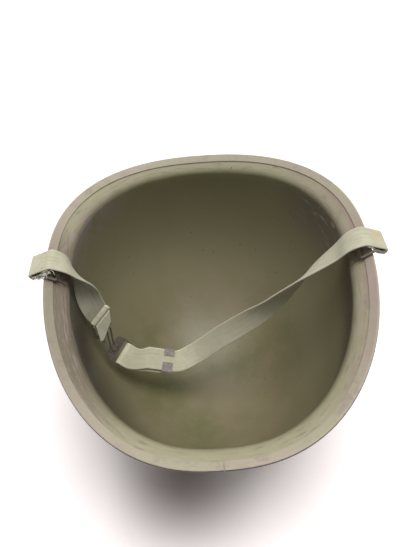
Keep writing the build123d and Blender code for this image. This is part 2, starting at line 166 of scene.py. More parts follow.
class StrapSettings(bpy.types.PropertyGroup):
    """Webbing sizes and the places of the hardware that it goes round."""

    width: mm_prop("Width", 19.0, "Across the webbing")
    thickness: mm_prop("Thickness", 1.6, "Thickness of the webbing")
    clearance: mm_prop("Clearance", 0.25, "Gap between webbing and metal")
    eye_length: mm_prop("Eye length", 14.0, "Eye round the bail, to the end of its seam")
    eye_sewn: mm_prop("Eye seam", 4.0, "Part of the eye that is sewn together")
    eye_sag: mm_prop("Eye sag", 1.6, "Sag of the eye's lower ply")
    bail_wire: mm_prop("Bail wire", 2.2, "Wire of the bails")
    bail_bar: vector_prop("Bail bar", (127.658, 4.0, 178.45), "Middle of the right bail's outer bar")
    bail_droop: number_prop("Bail droop", 22.0, "How far the bails' loops hang, in degrees")
    roll_centre: vector_prop("Roll centre", (-89.8, -5.04, 125.668), "Middle of the short strap's roll")
    roll_along: vector_prop("Roll direction", (0.667, 0.567, 0.483), "Along the roll", "DIRECTION")
    ring_hang: vector_prop("Ring hang", (0.51, 0.12, -0.85), "Way the ring hangs", "DIRECTION")
    ring_wire: mm_prop("Ring wire", 2.0, "Wire of the anchor ring")
    flap_length: mm_prop("Flap length", 15.6, "Flap below the roll")
    flap_tip_cut: mm_prop("Flap tip cut", 1.6, "Blunt cut of the flap's tip")
    flap_tip_shift: mm_prop("Flap tip shift", 16.6, "How far the tip stands aside")
    flap_knee: mm_prop("Flap knee", 10.0, "Where the flap's long edge bends")
    flap_knee_shift: mm_prop("Flap knee shift", 1.0, "How far the bend stands aside")
    flap_straight: mm_prop("Flap straight", 2.6, "Straight part below the roll")
    flap_lean: number_prop("Flap lean", 10.5, "Lean of the flap, in degrees")
    flap_start: mm_prop("Flap start", 1.4, "Where the flap starts below the roll's middle")
    roll_crease: mm_prop("Roll crease", 1.4, "Depth of the crease between roll and flap")
    bar_centre: vector_prop("Bar centre", (-78.169, -13.385, 77.254), "Middle of the buckle's bar")
    bar_along: vector_prop("Bar direction", (0.526, 0.813, 0.247), "Along the bar", "DIRECTION")
    bar_width: mm_prop("Bar width", 2.6, "Width of the buckle's bar")
    bar_thickness: mm_prop("Bar thickness", 1.0, "Thickness of the buckle's bar")
    doubled_run: vector_prop("Doubled run", (0.866, 0.069, -0.495), "Along the doubled end", "DIRECTION")
    doubled_length: mm_prop("Doubled length", 47.0, "Length of the doubled end")
    settle_length: mm_prop("Settle length", 22.0, "How far from the bar the two plies come together")
    fold_straight: mm_prop("Fold straight", 4.0, "Straight part next to the bar")
    fold_pinch: number_prop("Fold pinch", 0.96, "Share of its width that the fold keeps")
    ply_gap: mm_prop("Ply gap", 0.1, "Gap between the two plies")
    ply_slip: mm_prop("Ply slip", 2.6, "How far the lower ply stands out to the front")
    step: mm_prop("Step", 1.0, "Distance between rows of the webbing")
    across_count: count_prop("Steps across", 20, "Steps across each face of the webbing")


class LooksSettings(bpy.types.PropertyGroup):
    """Main colours of the finishes."""

    bowl_olive: vector_prop("Bowl olive", (0.15, 0.145, 0.068), "Greener blotches", "COLOR")
    bowl_brown: vector_prop("Bowl brown", (0.205, 0.175, 0.102), "Browner blotches", "COLOR")
    flare_pale: vector_prop("Flare", (0.41, 0.385, 0.255), "Rubbed paint of the flare", "COLOR")
    rim_pale: vector_prop("Rim", (0.44, 0.41, 0.29), "Pale parts of the rim band", "COLOR")
    rim_brown: vector_prop("Rim brown", (0.47, 0.405, 0.32), "Brown parts of the rim band", "COLOR")
    webbing_olive: vector_prop("Webbing olive", (0.52, 0.51, 0.36), "Darker webbing", "COLOR")
    webbing_pale: vector_prop("Webbing pale", (0.62, 0.585, 0.455), "Lighter webbing", "COLOR")
    steel_dark: vector_prop("Dark steel", (0.16, 0.15, 0.125), "Hardware", "COLOR")
    steel_rubbed: vector_prop("Rubbed steel", (0.215, 0.2, 0.17), "Rubbed hardware", "COLOR")


class StudioSettings(bpy.types.PropertyGroup):
    """Camera, lamp and world."""

    eye: vector_prop("Camera place", (-2.9, -235.4, 438.6), "Place of the camera")
    tilt: number_prop("Tilt", 40.4, "Camera's turn up from straight down, in degrees")
    roll: number_prop("Roll", 4.2, "Camera's roll, in degrees")
    focal_pixels: number_prop("Focal length", 480.0, "Focal length in pixels of the photograph")
    frame_height: number_prop("Frame height", 547.0, "Height of the photograph in pixels")
    sensor: mm_prop("Sensor", 36.0, "Height of the sensor")
    key_light: number_prop("Key light", 1.9, "Strength of the sun lamp")
    key_spread: number_prop("Key spread", 30.0, "Angle of the sun lamp, in degrees")
    key_from: vector_prop("Key direction", (0.13, 0.02, 1.0), "Where the sun stands", "DIRECTION")
    key_color: vector_prop("Key colour", (1.0, 0.985, 0.97), "Colour of the sun lamp", "COLOR")
    world_light: number_prop("World light", 1.05, "Strength of the world overhead")
    low_light: number_prop("Low light", 0.12, "Strength of the world near the horizon")
    front_shade: number_prop("Front shade", 0.5, "Share of the world's light missing at the front")


# Places on each strap's middle line, with the twist there in degrees.
SHORT_STATIONS = (
    (-108.2, 4.1, 182.6, 4),
    (-103.4, 4.1, 177.3, 14),
    (-100.2, 3.8, 169.1, 30),
    (-96.0, 2.9, 158.8, 54),
    (-95.8, 0.6, 147.0, 92),
    (-94.0, -2.5, 135.6, 116),
)
LONG_STATIONS = (
    (108.2, 4.1, 184.1, 2),
    (101.8, 4.1, 179.1, 7),
    (95.0, 4.1, 169.1, 14),
    (82.6, 2.9, 156.6, 28),
    (73.4, 2.0, 146.3, 44),
    (62.6, 1.0, 130.7, 68),
    (47.4, -0.6, 112.1, 94),
    (29.6, -2.0, 97.0, 122),
    (7.0, -4.1, 79.6, 138),
    (-17.3, -7.0, 59.6, 143),
)


class NodeTree:
    """A node tree under construction."""

    def __init__(self, tree):
        self.tree = tree

    def put(self, slot, value):
        """Links a socket to an input, or sets the input's own value."""
        if isinstance(value, Sock):
            self.tree.links.new(value.socket, slot)
        else:
            slot.default_value = value

    def node(self, kind, options=None, inputs=None):
        """New node: its options are set first, then the values or links of its sockets."""
        node = self.tree.nodes.new(kind)
        for name, value in (options or {}).items():
            setattr(node, name, value)
        for slot, value in (inputs or {}).items():
            self.put(node.inputs[slot], value)
        return node

    def out(self, output, kind, options=None, inputs=None):
        """One output of a new node, by its name or number."""
        return Sock(self, self.node(kind, options, inputs).outputs[output])

    def parts(self, vector):
        """The X, Y and Z of a vector socket."""
        node = self.node("ShaderNodeSeparateXYZ", inputs={0: vector})
        return [Sock(self, output) for output in node.outputs]


class Sock:
    """A node socket that can be used in sums."""

    def __init__(self, owner, socket):
        self.owner = owner
        self.socket = socket

    def math(self, operation, *others):
        """The result of a Math node on this value and others."""
        inputs = dict(enumerate((self, *others)))
        return self.owner.out(0, "ShaderNodeMath", {"operation": operation}, inputs)

    def __add__(self, other):
        return self.math("ADD", other)

    def __sub__(self, other):
        return self.math("SUBTRACT", other)

    def __mul__(self, other):
        return self.math("MULTIPLY", other)

    __radd__ = __add__
    __rmul__ = __mul__

    def __rsub__(self, other):
        return (self * -1.0) + other

    def ramp(self, low, high):
        """0 below low and 1 above high, smooth between; it falls when low is above high."""
        start, end, at_start, at_end = (low, high, 0.0, 1.0) if low < high else (high, low, 1.0, 0.0)
        inputs = {"Value": self, "From Min": start, "From Max": end, "To Min": at_start, "To Max": at_end}
        return self.owner.out("Result", "ShaderNodeMapRange", {"interpolation_type": "SMOOTHSTEP"}, inputs)

    def near(self, centre, reach):
        """1 at the centre value, falling to 0 at the reach either side."""
        return (self - centre).math("ABSOLUTE").ramp(reach, 0.0)


class Material(NodeTree):
    """A material under construction: its tree, its shader and the patterns it is painted with."""

    def __init__(self, name, color, roughness, metallic=0.0):
        self.data = bpy.data.materials.new(name)
        self.data.use_nodes = True
        self.data.diffuse_color = (*color, 1.0)
        super().__init__(self.data.node_tree)
        self.shader = self.tree.nodes["Principled BSDF"]
        self.base = color
        self.set("Base Color", (*color, 1.0))
        self.set("Roughness", roughness)
        self.set("Metallic", metallic)
        coordinates = self.node("ShaderNodeTexCoord")
        self.place = Sock(self, coordinates.outputs["Object"])
        self.uv = Sock(self, coordinates.outputs["UV"])
        self.normal = Sock(self, coordinates.outputs["Normal"])

    def set(self, name, value):
        """Sets or links one of the shader's inputs."""
        self.put(self.shader.inputs[name], value)

    def distance(self, point):
        """Distance of the surface from a point, in metres."""
        return self.out("Value", "ShaderNodeVectorMath", {"operation": "DISTANCE"}, {0: self.place, 1: point})

    def stretched(self, scale):
        """The UV coordinates scaled along each axis."""
        return self.out(0, "ShaderNodeMapping", inputs={"Scale": scale, "Vector": self.uv})

    def noise(self, size_mm, detail=3.0, roughness=0.55, vector=None, distortion=0.0):
        """Noise whose blotches are about size_mm across, from 0 to 1."""
        inputs = {
            "Vector": vector or self.place,
            "Scale": 1.0 / (size_mm * MM),
            "Detail": detail,
            "Roughness": roughness,
            "Distortion": distortion,
        }
        return self.out("Fac", "ShaderNodeTexNoise", inputs=inputs)

    def specks(self, size_mm, reach):
        """Small round specks, 1 at their middles."""
        inputs = {"Vector": self.place, "Scale": 1.0 / (size_mm * MM)}
        return self.out("Distance", "ShaderNodeTexVoronoi", inputs=inputs).ramp(reach, reach * 0.4)

    def mix(self, share, first, second):
        """Colour between two colours, each a tuple or a socket."""
        colors = [color if isinstance(color, Sock) else (*color, 1.0) for color in (first, second)]
        inputs = {0: share, 6: colors[0], 7: colors[1]}
        return self.out(2, "ShaderNodeMix", {"data_type": "RGBA"}, inputs)

    def paint(self, share, color):
        """Lays a colour over the base colour, as strongly as the share says."""
        self.base = self.mix(share, self.base, color)

    def bump(self, height, depth_mm, strength=1.0):
        """Relief of a given depth from a 0 to 1 height."""
        inputs = {"Strength": strength, "Distance": depth_mm * MM, "Height": height}
        self.set("Normal", self.out(0, "ShaderNodeBump", inputs=inputs))


def settings():
    return bpy.context.scene.helmet


def strap_settings():
    return bpy.context.scene.helmet_strap


def looks():
    return bpy.context.scene.helmet_looks


def outline(angle, width, front, rear):
    """Plan outline: two superellipse halves that meet on the widest line."""
    s = settings()
    across, along = math.cos(angle), math.sin(angle)
    power = 2 / (s.rear_squareness if along > 0 else s.front_squareness)
    reach = rear - s.widest_back if along > 0 else front + s.widest_back
    x = width * math.copysign(abs(across) ** power, across)
    y = s.widest_back + reach * math.copysign(abs(along) ** power, along)
    return x, y


def rim_height(y):
    """Height of the rim, which dips to the front and, less, to the back."""
    s = settings()
    if y < s.dip_start:
        share = (s.dip_start - y) / (s.half_length + s.dip_start)
        return s.depth - s.front_dip * share ** s.front_dip_power
    share = (y - s.dip_start) / (s.half_length - s.dip_start)
    return s.depth - s.rear_dip * share ** s.rear_dip_power


def skin(level, angle):
    """Point on the shell's outside: level is 0 at the crown, 1 at the flare's root, 2 at the rim."""
    s = settings()
    rim_x, rim_y = outline(angle, s.half_width, s.half_length, s.half_length)
    root_x, root_y = outline(
        angle, s.half_width - s.flare_side, s.half_length - s.flare_front, s.half_length - s.flare_rear
    )
    drop_end = s.drop_rear if math.sin(angle) > 0 else s.drop_front
    drop = s.drop_side + (drop_end - s.drop_side) * math.sin(angle) ** 2
    root_z = rim_height(rim_y) - drop
    if level > 1:
        out = (level - 1) ** s.flare_curl
        x = root_x + (rim_x - root_x) * out
        y = root_y + (rim_y - root_y) * out
        return Vector((x, y, root_z + drop * (level - 1)))
    spread = math.sin(level * math.pi / 2) ** (2 / s.dome_squareness)
    sink = math.cos(level * math.pi / 2) ** (2 / s.dome_squareness)
    sink_at_crown = math.cos(s.crown_level * math.pi / 2) ** (2 / s.dome_squareness)
    return Vector((root_x * spread, root_y * spread, root_z * (1 - sink / sink_at_crown)))


def off_skin(level, angle, out):
    """Point that stands out from the skin along its normal; inside the helmet, out is negative."""
    probe = 0.001
    around = skin(level, angle + probe) - skin(level, angle - probe)
    along = skin(level + probe, angle) - skin(level - probe, angle)
    point = skin(level, angle) + around.cross(along).normalized() * out
    if level == settings().crown_level:
        point.z = -out
    return point


def new_object(name, mesh_data, smooth_angle=None):
    """Object from a bmesh, in metres, smooth shaded but for edges sharper than the angle."""
    bmesh.ops.recalc_face_normals(mesh_data, faces=mesh_data.faces)
    bmesh.ops.scale(mesh_data, vec=(MM, MM, MM), verts=mesh_data.verts)
    for face in mesh_data.faces:
        face.smooth = True
    if smooth_angle is not None:
        for edge in mesh_data.edges:
            if len(edge.link_faces) == 2 and edge.calc_face_angle(0) > smooth_angle:
                edge.smooth = False
    data = bpy.data.meshes.new(name)
    mesh_data.to_mesh(data)
    mesh_data.free()
    thing = bpy.data.objects.new(name, data)
    bpy.context.scene.collection.objects.link(thing)
    return thing


def grid_faces(mesh_data, rows, coords):
    """Quads between closed rows of vertices, with a UV for each corner from coords(row, column)."""
    uv = mesh_data.loops.layers.uv.verify()
    count = len(rows[0])
    for i in range(len(rows) - 1):
        for j in range(count):
            corners = ((i, j), (i, j + 1), (i + 1, j + 1), (i + 1, j))
            face = mesh_data.faces.new([rows[r][c % count] for r, c in corners])
            for loop, corner in zip(face.loops, corners):
                loop[uv].uv = coords(*corner)


def shell_paint():
    """Olive drab inside a worn helmet: darker in the bowl, rubbed pale on the flare, with painted light and
    shade on the bowl's walls.
    """
    m = Material("shell_paint", (0.18, 0.16, 0.088), 0.5)
    c = looks()
    _, v, _ = m.parts(m.uv)
    x, y, _ = m.parts(m.place)
    broad = m.noise(60, 2.0)
    mottle = m.noise(11, 5.0, 0.6)
    fine = m.noise(1.6, 3.0, 0.6)
    along = m.noise(3.0, 4.0, 0.65, m.stretched((0.16, 0.03, 1.0)))
    m.base = m.mix(broad.ramp(0.3, 0.7), c.bowl_olive, c.bowl_brown)
    m.paint(mottle.ramp(0.42, 0.72) * 0.4, (0.235, 0.195, 0.13))
    m.paint(fine.ramp(0.55, 0.8) * 0.15, (0.06, 0.055, 0.035))
    # Painted light and shade: the bowl's walls are painted lighter, most at the right, and painted darker low
    # at the left.
    wall = v.ramp(0.35, 0.7) * y.ramp(-0.09, -0.01)
    m.paint(wall * 0.7, (0.26, 0.24, 0.145))
    m.paint(x.ramp(0.03, 0.09) * v.ramp(0.4, 0.7) * 0.45, (0.3, 0.27, 0.17))
    # Painted shade low on the left wall.
    low_left_painted_shade = x.ramp(-0.02, -0.08) * y.ramp(0.0, -0.05) * v.ramp(0.45, 0.8)
    m.paint(low_left_painted_shade * 0.8, (0.1, 0.085, 0.055))
    # The flare is rubbed pale up to a ragged line, brown at the left and streaked along its run.
    ragged = v + (mottle - 0.5) * 0.2
    m.paint(ragged.ramp(1.1, 1.45), c.flare_pale)
    brown_side = x.ramp(-0.05, -0.1) * y.ramp(0.06, 0.02) * ragged.ramp(1.1, 1.4)
    m.paint(brown_side * 0.8, (0.17, 0.13, 0.1))
    m.paint(along.ramp(0.5, 0.72) * v.ramp(1.15, 1.5) * 0.5, (0.5, 0.43, 0.36))
    m.paint(along.ramp(0.48, 0.3) * v.ramp(1.1, 1.4) * 0.55, (0.2, 0.165, 0.125))
    green = v.near(1.08, 0.14) * m.noise(30, 3.0).ramp(0.35, 0.65)
    m.paint(green * 0.7, (0.14, 0.155, 0.05))
    # Rosy streaks at the sides, and painted shade: dark bands inside below the flare's root.
    side = x.math("ABSOLUTE").ramp(0.075, 0.105)
    left, right = x.ramp(-0.06, -0.1), x.ramp(0.06, 0.1)
    m.paint(v.near(1.32, 0.3) * side * along.ramp(0.4, 0.62) * 0.7, (0.42, 0.32, 0.31))
    inside = (m.parts(m.normal)[0] * x).ramp(0.0, -0.02)
    rubbed = v.near(1.05, 0.16) * left * m.noise(17, 4.0, 0.65).ramp(0.36, 0.6)
    m.paint(rubbed * 0.8, (0.33, 0.27, 0.29))
    # Painted shade below the flare's root at the right.
    painted_shade_band = v.near(1.0, 0.16) * right * y.ramp(0.03, -0.02)
    m.paint(painted_shade_band * inside * 0.9, (0.07, 0.05, 0.06))
    # Painted shadow of the short strap on the left wall below the flare's root.
    painted_shade_band = v.near(0.93, 0.2) * left * y.ramp(0.03, 0.0)
    m.paint(painted_shade_band * inside * 0.85, (0.045, 0.036, 0.034))
    brown = ragged.ramp(1.4, 1.75) * right * m.noise(24, 4.0).ramp(0.3, 0.55)
    m.paint(brown * 0.75, (0.36, 0.25, 0.225))
    # Pale scratches on a darker patch at the right, rust specks and chips.
    lines = m.noise(1.5, 3.0, 0.6, m.stretched((0.06, 0.11, 1.0)), 1.2)
    scratched = lines.ramp(0.56, 0.64) * right * y.ramp(0.01, 0.03) * y.ramp(0.1, 0.07) * v.near(1.02, 0.16)
    m.paint(v.near(0.97, 0.2) * right * y.ramp(0.01, 0.04) * 0.6, (0.15, 0.12, 0.12))
    m.paint(scratched * 0.8, (0.55, 0.48, 0.46))
    rust = m.specks(9, 0.12) * m.noise(35, 1.0).ramp(0.5, 0.6)
    m.paint(rust * 0.8, (0.17, 0.06, 0.03))
    chips = m.specks(4, 0.09) * m.noise(20, 1.0).ramp(0.5, 0.6)
    m.paint(chips * 0.45, (0.5, 0.47, 0.38))
    m.set("Base Color", m.base)
    m.set("Roughness", mottle * 0.2 + 0.36)
    m.bump(fine * 0.6 + mottle * 0.4, 0.12, 0.35)
    return m.data


def rim_paint():
    """The rim band: the flare's olive, rubbed pale inside, with painted shade, dark purplish, on its outer
    side where it turns away from the top.
    """
    m = Material("rim_paint", (0.36, 0.33, 0.225), 0.45)
    c = looks()
    x, y, _ = m.parts(m.place)
    mottle = m.noise(9, 5.0, 0.65)
    m.base = m.mix(m.noise(45, 2.0).ramp(0.35, 0.65), c.rim_pale, c.rim_brown)
    worn = mottle.ramp(0.45, 0.65) * m.noise(40, 2.0).ramp(0.3, 0.6)
    m.paint(worn * 0.6, (0.34, 0.265, 0.25))
    m.paint(m.noise(3.0, 4.0, 0.65).ramp(0.52, 0.7) * 0.4, (0.52, 0.47, 0.38))
    m.paint(x.ramp(0.07, 0.12) * y.ramp(0.08, 0.0) * 0.6, (0.38, 0.28, 0.26))
    m.paint(x.ramp(-0.07, -0.12) * y.ramp(0.08, 0.0) * 0.6, (0.27, 0.225, 0.17))
    # Painted shade: dark purplish where the band turns away from the top.
    _, _, painted_shade_facing = m.parts(m.normal)
    m.paint(painted_shade_facing.ramp(0.72, 0.5), (0.07, 0.052, 0.065))
    m.set("Base Color", m.base)
    m.set("Roughness", mottle * 0.2 + 0.36)
    m.bump(m.noise(1.2, 3.0), 0.08, 0.4)
    return m.data


def hinge_paint():
    """The bails' hinge plates: the flare's paint, mottled darker, with pale chips."""
    m = Material("hinge_paint", (0.26, 0.22, 0.16), 0.5)
    mottle = m.noise(4, 4.0, 0.6)
    m.base = m.mix(mottle.ramp(0.4, 0.65), (0.3, 0.26, 0.19), (0.17, 0.13, 0.11))
    m.paint(m.specks(2.5, 0.2) * 0.7, (0.5, 0.46, 0.4))
    m.set("Base Color", m.base)
    m.set("Roughness", mottle * 0.2 + 0.4)
    m.bump(mottle, 0.05, 0.4)
    return m.data


def webbing():
    """Ribbed cotton webbing; its UV is in metres, across and along the strap."""
    m = Material("webbing", (0.56, 0.54, 0.4), 0.9)
    c = looks()
    u, v, _ = m.parts(m.uv)
    ribs = (u * (math.tau / (RIB_PITCH * MM))).math("SINE") * 0.5 + 0.5
    picks = (v * (math.tau / (PICK_PITCH * MM))).math("SINE") * 0.5 + 0.5
    fuzz = m.noise(0.5, 2.0)
    soil = m.noise(14, 4.0, 0.6)
    lengthwise = m.noise(1.7, 3.0, 0.6, m.stretched((1.0, 0.07, 1.0)))
    m.base = m.mix(soil.ramp(0.35, 0.7), c.webbing_olive, c.webbing_pale)
    m.paint(lengthwise.ramp(0.5, 0.28) * 0.45, (0.33, 0.315, 0.215))
    m.paint(lengthwise.ramp(0.55, 0.75) * 0.4, (0.72, 0.69, 0.57))
    # Painted shade in the grooves between the ribs.
    m.paint(ribs.ramp(0.4, 0.0) * 0.25, (0.3, 0.295, 0.2))
    m.paint(fuzz.ramp(0.6, 0.85) * 0.25, (0.72, 0.7, 0.6))
    m.paint(u.math("ABSOLUTE").ramp(8.3 * MM, 9.0 * MM) * 0.4, (0.74, 0.7, 0.58))
    # Painted shade: the long strap's middle is painted darker, streaked along its run, where the bowl shades
    # it.
    middle_painted_shade = m.parts(m.place)[0].near(0.025, 0.06) * lengthwise.ramp(0.2, 0.6)
    m.paint(middle_painted_shade * 0.6, (0.3, 0.275, 0.19))
    away = m.distance(STAIN_PLACE)
    stain = (away + (m.noise(3, 3.0) - 0.5) * 0.008).ramp(0.0085, 0.003)
    m.paint(stain * 0.45, (0.56, 0.42, 0.17))
    m.set("Base Color", m.base)
    m.bump(ribs * 0.5 + picks * 0.2 + fuzz * 0.15 + lengthwise * 0.4, 0.16, 0.8)
    m.set("Sheen Weight", 0.2)
    m.set("Sheen Roughness", 0.5)
    return m.data


def thread():
    """Pale cotton sewing thread."""
    m = Material("thread", (0.62, 0.6, 0.5), 0.85)
    twist = m.noise(0.4, 2.0)
    m.set("Base Color", m.mix(twist, (0.5, 0.48, 0.38), (0.7, 0.68, 0.58)))
    m.bump(twist, 0.05, 0.5)
    return m.data


def dark_hardware():
    """Blackened steel, rubbed in patches, with a little rust."""
    m = Material("dark_hardware", (0.13, 0.12, 0.1), 0.45, 0.45)
    c = looks()
    mottle = m.noise(3.0, 4.0, 0.65)
    m.base = m.mix(mottle.ramp(0.35, 0.75), c.steel_dark, c.steel_rubbed)
    m.paint(m.noise(6, 3.0).ramp(0.6, 0.72) * 0.3, (0.14, 0.08, 0.05))
    m.set("Base Color", m.base)
    m.set("Roughness", mottle * 0.2 + 0.4)
    m.bump(mottle, 0.05, 0.4)
    return m.data


def clip_metal():
    """Grey sheet metal of the strap's end clip."""
    m = Material("clip_metal", (0.34, 0.3, 0.29), 0.5, 0.3)
    mottle = m.noise(2.5, 4.0, 0.65)
    m.set("Base Color", m.mix(mottle.ramp(0.4, 0.7), (0.28, 0.24, 0.235), (0.42, 0.38, 0.37)))
    m.set("Roughness", mottle * 0.3 + 0.35)
    m.bump(mottle, 0.04, 0.4)
    return m.data


def bright_rivet():
    """Worn bright steel."""
    m = Material("bright_rivet", (0.55, 0.54, 0.5), 0.3, 0.9)
    mottle = m.noise(1.0, 3.0)
    m.set("Base Color", m.mix(mottle.ramp(0.4, 0.7), (0.6, 0.58, 0.54), (0.25, 0.22, 0.19)))
    m.set("Roughness", mottle * 0.3 + 0.2)
    return m.data


class HELMET_OT_shell(bpy.types.Operator):
    """Fine mesh of the pressed shell, with its paint."""

    bl_idname = "helmet.shell"
    bl_label = "Shell"

    def execute(self, context):
        s = settings()
        mesh_data = bmesh.new()
        levels = [s.crown_level + (1 - s.crown_level) * i / s.dome_count for i in range(s.dome_count + 1)]
        levels += [1 + (i + 1) / s.flare_count for i in range(s.flare_count)]
        angles = [math.tau * i / s.around_count for i in range(s.around_count)]
        rings = [[mesh_data.verts.new(off_skin(level, a, 0)) for a in angles] for level in levels]
        inner = [[mesh_data.verts.new(off_skin(level, a, -s.wall)) for a in angles] for level in levels]
        heights = levels + levels[::-1]

        def coords(row, column):
            return column / s.around_count, heights[row]

        grid_faces(mesh_data, rings + inner[::-1], coords)
        mesh_data.faces.new(rings[0])
        mesh_data.faces.new(inner[0])
        shell = new_object("shell_skin", mesh_data, SHELL_CREASE)
        shell.data.materials.append(shell_paint())
        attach(shell, "helmet")
        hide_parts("shell")
        return {"FINISHED"}


class HELMET_OT_hardware(bpy.types.Operator):
    """Materials of the pieces that keep their CAD shape."""

    bl_idname = "helmet.hardware"
    bl_label = "Hardware"

    def execute(self, context):
        finishes = {
            rim_paint(): ("rim_band",),
            hinge_paint(): ("left_hinge_plate", "right_hinge_plate"),
            dark_hardware(): (
                "left_bail", "right_bail", "anchor_ring", "release_tab", "release_hook", "buckle_plate",
            ),
            clip_metal(): ("end_clip",),
            bright_rivet(): ("hook_rivets",),
        }
        for material, names in finishes.items():
            for name in names:
                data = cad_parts[name].data
                data.materials.clear()
                data.materials.append(material)
        return {"FINISHED"}


def hang_frame(along, side):
    """Two directions square to a strap's run: towards the front, and towards its upper face."""
    near = (FRONT - along * FRONT.dot(along)).normalized()
    return near, near.cross(along) * side


def twist_at(end, side):
    """Twist in degrees at a strap's end, given as its place, direction across and direction along."""
    _, across, along = end
    near, up = hang_frame(along, side)
    return math.degrees(math.atan2(across.dot(up), across.dot(near)))


def hermite(a, b, rate_a, rate_b, t):
    """Cubic from a to b with given rates of change at its ends; t runs from 0 to 1."""
    value = a * (1 - 3 * t**2 + 2 * t**3) + b * (3 * t**2 - 2 * t**3)
    return value + (rate_a * (t - 2 * t**2 + t**3) + rate_b * (t**3 - t**2))


def twisted_route(first, stations, last):
    """Places and directions along a strap, from one known place through twisted stations to another."""
    step = strap_settings().step
    side = math.copysign(1, first[2].x)
    places = [first[0], *[Vector(station[:3]) for station in stations], last[0]]
    twists = [twist_at(first, side), *[station[3] for station in stations], twist_at(last, side)]
    rates = [(b - a) / 2 for a, b in zip(places, places[2:])]
    rates.insert(0, first[2] * (places[1] - places[0]).length)
    rates.append(last[2] * (places[-1] - places[-2]).length)
    route = []
    for i in range(len(places) - 1):
        a, b, p, q = places[i], places[i + 1], rates[i], rates[i + 1]
        count = max(2, round((b - a).length / step))
        for k in range(count):
            t = k / count
            centre = hermite(a, b, p, q, t)
            along = (b - a) * (6 * t - 6 * t**2) + p * (1 - 4 * t + 3 * t**2) + q * (3 * t**2 - 2 * t)
            along.normalize()
            near, up = hang_frame(along, side)
            before = twists[i - 1] if i else twists[i]
            after = twists[i + 2] if i + 2 < len(twists) else twists[i + 1]
            slope_a, slope_b = (twists[i + 1] - before) / 2, (after - twists[i]) / 2
            turn = math.radians(hermite(twists[i], twists[i + 1], slope_a, slope_b, t))
            across = near * math.cos(turn) + up * math.sin(turn)
            route.append((centre, across, along))
    route.append(last)
    return route


def eye_frame(side):
    """The bail's bar, and the eye's directions inward and up; side is 1 at the right, -1 at the left."""
    s = strap_settings()
    droop = math.radians(s.bail_droop)
    bar = Vector((s.bail_bar[0] * side, s.bail_bar[1], s.bail_bar[2]))
    inward = Vector((-math.cos(droop) * side, 0, math.sin(droop)))
    return bar, inward, Vector((math.sin(droop) * side, 0, math.cos(droop)))


def eye_route(side):
    """The webbing's way from its sewn end, round the bail's outer bar, to the start of the strap."""
    s = strap_settings()
    bore = s.bail_wire / 2 + s.clearance
    radius = bore + s.thickness / 2
    bar, inward, up = eye_frame(side)
    low = bore - s.thickness / 2
    closed = s.eye_length - s.eye_sewn
    spots = [(s.eye_length - i * s.step, low) for i in range(int(s.eye_sewn / s.step) + 1)]
    slope = int(closed / s.step)
    for i in range(1, slope):
        t = i / slope
        eased = 3 * t**2 - 2 * t**3
        spots.append((closed * (1 - t), low + (-radius - low) * eased - s.eye_sag * math.sin(math.pi * t)))
    for i in range(EYE_TURNS + 1):
        angle = -math.pi / 2 - math.pi * i / EYE_TURNS
        spots.append((radius * math.cos(angle), radius * math.sin(angle)))
    spots += [(i * s.step, radius) for i in range(1, int(s.eye_length / s.step))]
    return [bar + inward * along + up * height for along, height in spots]


def with_frames(points, across):
    """Adds each point's direction along the line, and the same direction across."""
    route = []
    for i, point in enumerate(points):
        a, b = points[max(i - 1, 0)], points[min(i + 1, len(points) - 1)]
        route.append((point, across, (b - a).normalized()))
    return route


def ribbon_section(width, thickness, count):
    """Outline of the webbing's section, across and height, with rounded selvages."""
    half, deep = width / 2, thickness / 2
    spots = []
    for face in (1, -1):
        for i in range(count + 1):
            x = math.sin((i / count - 0.5) * math.pi) * half * face
            edge = max(0.0, (abs(x) - half + deep) / deep)
            height = deep * math.sqrt(max(0.0, 1 - edge**SELVAGE_POWER)) + SELVAGE_LIFT
            spots.append((x, height * face))
    return spots


made_materials = {}


def made_material(make):
    """The material that a function makes, made once."""
    if make not in made_materials:
        made_materials[make] = make()
    return made_materials[make]


def run_lengths(route):
    """Distance of each place of a route from its start."""
    runs = [0.0]
    for before, after in zip(route, route[1:]):
        runs.append(runs[-1] + (after[0] - before[0]).length)
    return runs


def make_ribbon(name, route, edges=None):
    """Webbing swept along a route; edges gives each row's left and right edge where it is cut."""
    s = strap_settings()
    mesh_data = bmesh.new()
    rows, places = [], []
    runs = run_lengths(route)
    for i, (centre, across, along) in enumerate(route):
        up = across.cross(along).normalized()
        left, right = edges[i] if edges else (-s.width / 2, s.width / 2)
        middle = (left + right) / 2
        section = ribbon_section(right - left, s.thickness, s.across_count)
        places.append([x + middle for x, _ in section])
        rows.append([mesh_data.verts.new(centre + across * (x + middle) + up * z) for x, z in section])

    def coords(row, column):
        return places[row][column % len(places[row])] * MM, runs[row] * MM

    grid_faces(mesh_data, rows, coords)
    mesh_data.faces.new(rows[0])
    mesh_data.faces.new(rows[-1])
    ribbon = new_object(name, mesh_data, WEBBING_CREASE)
    ribbon.data.materials.append(made_material(webbing))
    return ribbon


def thread_run(mesh_data, points, radius=THREAD_RADIUS, sides=6):
    """Round thread along points, in millimetres, with closed ends."""
    rings = []
    for i, point in enumerate(points):
        a, b = points[max(i - 1, 0)], points[min(i + 1, len(points) - 1)]
        along = (b - a).normalized()
        side = along.cross(THREAD_SIDE_HINT).normalized()
        up = along.cross(side)
        size = radius * (THREAD_TIP if i in (0, len(points) - 1) else 1.0)
        ring = []
        for k in range(sides):
            angle = math.tau * k / sides
            ring.append(mesh_data.verts.new(point + (side * math.cos(angle) + up * math.sin(angle)) * size))
        rings.append(ring)
    for a, b in zip(rings, rings[1:]):
        for k in range(sides):
            mesh_data.faces.new((a[k], a[(k + 1) % sides], b[(k + 1) % sides], b[k]))
    mesh_data.faces.new(rings[0])
    mesh_data.faces.new(rings[-1])


